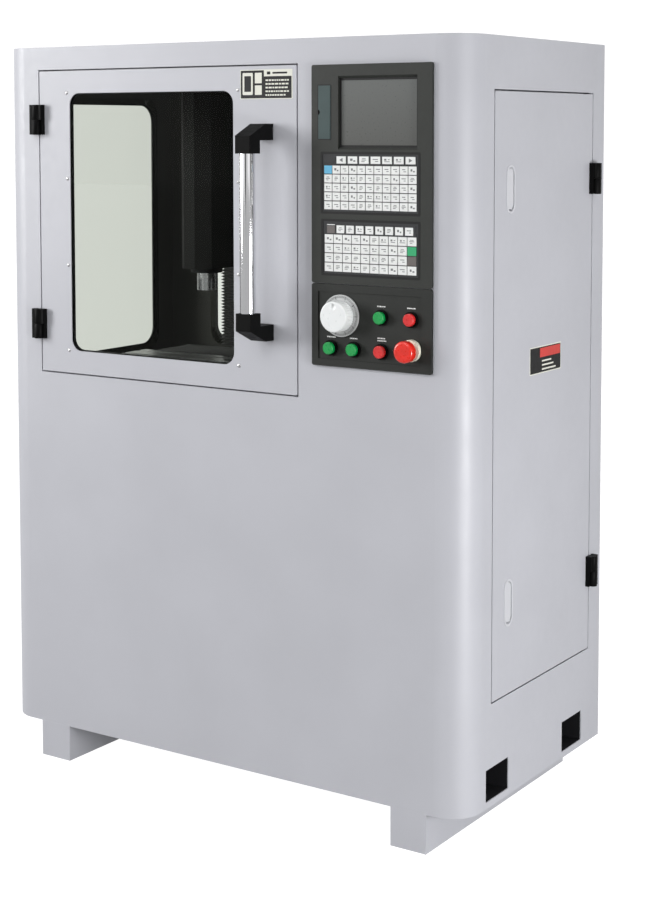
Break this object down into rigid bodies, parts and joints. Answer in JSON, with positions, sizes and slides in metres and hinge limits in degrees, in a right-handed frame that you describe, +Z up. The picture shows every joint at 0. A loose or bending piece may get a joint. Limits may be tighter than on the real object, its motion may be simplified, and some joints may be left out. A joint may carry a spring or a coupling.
{
  "type": "cnc machining center",
  "caption": "Small enclosed vertical milling machine: sheet-steel cabinet on skids, glazed front door with tube handle, side control panel, spindle head, saddle and T-slot table.",
  "frame": {"origin": "on the floor under the middle of the machine's overall box", "axes": "+X to the operator's right, +Y from the operator into the machine, +Z up"},
  "size_m": [1.143, 0.69, 1.507],
  "materials": {
    "enclosure_paint": "fine-texture light grey powder coat",
    "liner_paint": "satin black paint",
    "clear_sheet": "clear polycarbonate",
    "black_plastic": "matt black",
    "polished_tube": "polished",
    "bright_steel": "machined",
    "latch_metal": "light grey paint",
    "castings": "dark machine enamel with machined ways",
    "bellows_fabric": "coated folded fabric",
    "display_glass": "dark display behind an anti-glare sheet",
    "key_membrane": "embossed membrane",
    "cream_plastic": "cream and silver",
    "knob_plastic": "silver",
    "green_lens": "translucent green",
    "red_lens": "red",
    "flap_plastic": "grey-green"
  },
  "bodies": {
    "frame": {"base_frame": "enclosure_paint", "fork_tubes": "enclosure_paint", "front_panel": "enclosure_paint", "left_side_panel": "enclosure_paint", "right_side_panel": "enclosure_paint", "roof_panel": "enclosure_paint", "back_panel": "enclosure_paint", "cable_gland": "black_plastic", "fixed_windows": "clear_sheet", "chamber_liner": "liner_paint", "chip_pan": "liner_paint", "bed_casting": "castings", "column_casting": "castings", "guide_rails": "bright_steel", "axis_servo_motors": "black_plastic", "coolant_tank": "bright_steel", "servo_drives": "black_plastic", "cnc_bezel": "black_plastic", "lcd_screen": "display_glass", "keypads": "key_membrane", "aux_panel": "black_plastic", "button_bezels": "black_plastic", "estop_collar": "cream_plastic", "mpg_dial": "cream_plastic", "controller_housing": "bright_steel", "hinge_frame_leaves": "black_plastic", "y_bellows_front": "bellows_fabric", "y_bellows_rear": "bellows_fabric", "z_bellows_lower": "bellows_fabric", "z_bellows_upper": "bellows_fabric"},
    "front_door_body": {"front_door": "enclosure_paint", "door_glass": "clear_sheet", "door_screws": "bright_steel", "door_handle_tube": "polished_tube", "door_handle_brackets": "black_plastic", "front_door_hinge_leaves": "black_plastic"},
    "side_door_body": {"side_door": "enclosure_paint", "side_door_hinge_leaves": "black_plastic", "latch_housings": "latch_metal"},
    "upper_latch": {"upper_latch_lever": "latch_metal"},
    "lower_latch": {"lower_latch_lever": "latch_metal"},
    "card_flap": {"media_flap": "flap_plastic"},
    "hand_wheel": {"mpg_knob": "knob_plastic"},
    "green_button_upper_body": {"green_button_upper": "green_lens"},
    "red_button_upper_body": {"red_button_upper": "red_lens"},
    "green_button_left_body": {"green_button_left": "green_lens"},
    "green_button_middle_body": {"green_button_middle": "green_lens"},
    "red_button_lower_body": {"red_button_lower": "red_lens"},
    "stop_button_body": {"estop_mushroom": "red_lens"},
    "saddle_body": {"saddle": "castings", "x_servo_motor": "black_plastic"},
    "table_body": {"table": "castings"},
    "head_body": {"head_casting": "castings", "head_cover": "liner_paint", "spindle_motor": "black_plastic"},
    "spindle_body": {"spindle_shaft": "bright_steel", "collet_chuck": "bright_steel"},
    "x_screw_body": {"x_ball_screw": "bright_steel"},
    "y_screw_body": {"y_ball_screw": "bright_steel"},
    "z_screw_body": {"z_ball_screw": "bright_steel"}
  },
  "joints": [
    {"name": "front_door_swing", "type": "hinge", "parent": "frame", "child": "front_door_body", "pos_m": [-0.464, -0.279, 1.144], "axis": [0, 0, -1], "range_deg": [0, 105]},
    {"name": "side_door_swing", "type": "hinge", "parent": "frame", "child": "side_door_body", "pos_m": [0.5625, 0.2515, 0.84], "axis": [0, 0, 1], "range_deg": [0, 110]},
    {"name": "upper_latch_pull", "type": "hinge", "parent": "side_door_body", "child": "upper_latch", "pos_m": [0.5495, -0.103, 1.192], "axis": [0, 1, 0], "range_deg": [0, 45]},
    {"name": "lower_latch_pull", "type": "hinge", "parent": "side_door_body", "child": "lower_latch", "pos_m": [0.5495, -0.103, 0.414], "axis": [0, 1, 0], "range_deg": [0, 45]},
    {"name": "card_flap_swing", "type": "hinge", "parent": "frame", "child": "card_flap", "pos_m": [0.2662, -0.2748, 1.368], "axis": [0, 0, 1], "range_deg": [0, 95]},
    {"name": "hand_wheel_turn", "type": "hinge", "parent": "frame", "child": "hand_wheel", "pos_m": [0.2905, -0.29, 0.99], "axis": [0, 1, 0], "continuous": true},
    {"name": "green_button_upper_press", "type": "slide", "parent": "frame", "child": "green_button_upper_body", "axis": [0, 1, 0], "range_m": [0, 0.004], "stiffness_N_per_m": 600, "springref_m": -0.002},
    {"name": "red_button_upper_press", "type": "slide", "parent": "frame", "child": "red_button_upper_body", "axis": [0, 1, 0], "range_m": [0, 0.004], "stiffness_N_per_m": 600, "springref_m": -0.002},
    {"name": "green_button_left_press", "type": "slide", "parent": "frame", "child": "green_button_left_body", "axis": [0, 1, 0], "range_m": [0, 0.004], "stiffness_N_per_m": 600, "springref_m": -0.002},
    {"name": "green_button_middle_press", "type": "slide", "parent": "frame", "child": "green_button_middle_body", "axis": [0, 1, 0], "range_m": [0, 0.004], "stiffness_N_per_m": 600, "springref_m": -0.002},
    {"name": "red_button_lower_press", "type": "slide", "parent": "frame", "child": "red_button_lower_body", "axis": [0, 1, 0], "range_m": [0, 0.004], "stiffness_N_per_m": 600, "springref_m": -0.002},
    {"name": "stop_button_press", "type": "slide", "parent": "frame", "child": "stop_button_body", "axis": [0, 1, 0], "range_m": [0, 0.005]},
    {"name": "y_axis", "type": "slide", "parent": "frame", "child": "saddle_body", "axis": [0, 1, 0], "range_m": [-0.06, 0.06], "deforming": ["y_bellows_front", "y_bellows_rear"]},
    {"name": "x_axis", "type": "slide", "parent": "saddle_body", "child": "table_body", "axis": [1, 0, 0], "range_m": [-0.12, 0.12]},
    {"name": "z_axis", "type": "slide", "parent": "frame", "child": "head_body", "axis": [0, 0, 1], "range_m": [-0.14, 0.02], "deforming": ["z_bellows_lower", "z_bellows_upper"]},
    {"name": "spindle_turn", "type": "hinge", "parent": "head_body", "child": "spindle_body", "pos_m": [-0.1795, -0.07, 1.1], "axis": [0, 0, 1], "continuous": true},
    {"name": "x_screw_turn", "type": "hinge", "parent": "saddle_body", "child": "x_screw_body", "pos_m": [-0.1795, -0.07, 0.752], "axis": [1, 0, 0], "range_deg": [-4330, 4330]},
    {"name": "y_screw_turn", "type": "hinge", "parent": "frame", "child": "y_screw_body", "pos_m": [-0.1795, -0.03, 0.665], "axis": [0, 1, 0], "range_deg": [-2170, 2170]},
    {"name": "z_screw_turn", "type": "hinge", "parent": "frame", "child": "z_screw_body", "pos_m": [-0.1795, 0.19, 1.12], "axis": [0, 0, 1], "range_deg": [-5050, 730]}
  ],
  "couplings": [
    {"joint": "x_screw_turn", "follows": "x_axis", "rad_per_m": 628.32},
    {"joint": "y_screw_turn", "follows": "y_axis", "rad_per_m": 628.32},
    {"joint": "z_screw_turn", "follows": "z_axis", "rad_per_m": 628.32}
  ]
}
